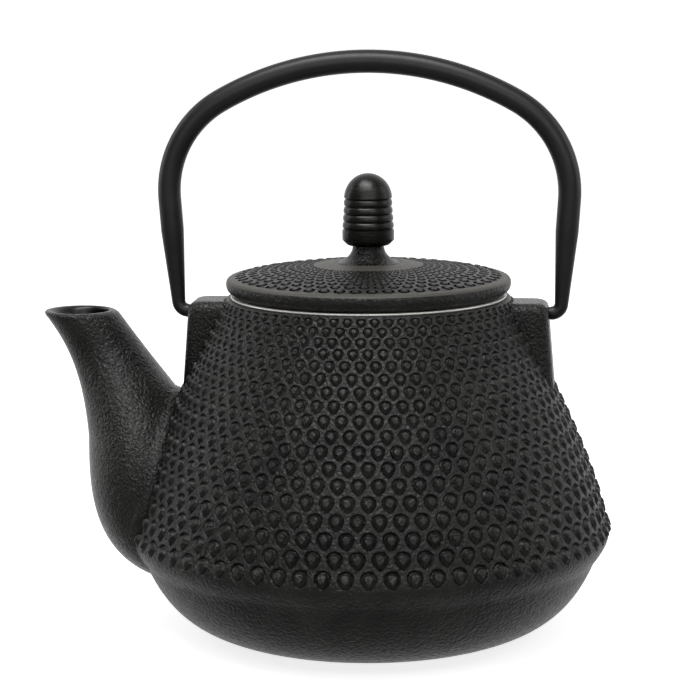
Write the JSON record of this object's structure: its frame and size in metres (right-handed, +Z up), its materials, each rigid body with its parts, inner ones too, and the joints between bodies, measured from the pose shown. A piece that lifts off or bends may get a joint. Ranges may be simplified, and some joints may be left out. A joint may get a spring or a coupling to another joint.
{
  "type": "cast iron teapot",
  "caption": "Round studded cast iron teapot with a spout, a hinged bow handle, a lift-off lid with a turned knob and a steel infuser basket.",
  "frame": {"origin": "centre of the flat base, on the surface that the pot stands on", "axes": "+Z up along the pot's axis, -X towards the spout, X along the handle's hinge axis"},
  "size_m": [0.1832, 0.1548, 0.1863],
  "materials": {
    "cast_iron": "matte black, grained as cast",
    "coated_steel": "smooth satin black",
    "coated_knob": "turned, satin black",
    "stainless": "polished",
    "stainless_mesh": "fine woven wire"
  },
  "bodies": {
    "pot": {"pot_body": "cast_iron"},
    "handle": {"handle_bow": "coated_steel"},
    "infuser": {"infuser_collar": "stainless", "infuser_mesh_wall": "stainless_mesh", "infuser_base_ring": "stainless", "infuser_mesh_bottom": "stainless_mesh"},
    "lid": {"lid_casting": "cast_iron", "lid_knob": "coated_knob", "knob_screw": "stainless", "knob_washer": "stainless"}
  },
  "joints": [
    {"name": "handle_swing", "type": "hinge", "parent": "pot", "child": "handle", "pos_m": [0, 0, 0.1033], "axis": [1, 0, 0], "range_deg": [-116, 116]},
    {"name": "infuser_lift", "type": "slide", "parent": "pot", "child": "infuser", "axis": [0, 0, 1], "range_m": [0, 0.028]},
    {"name": "lid_lift", "type": "slide", "parent": "infuser", "child": "lid", "axis": [0, 0, 1], "range_m": [0, 0.028]}
  ]
}
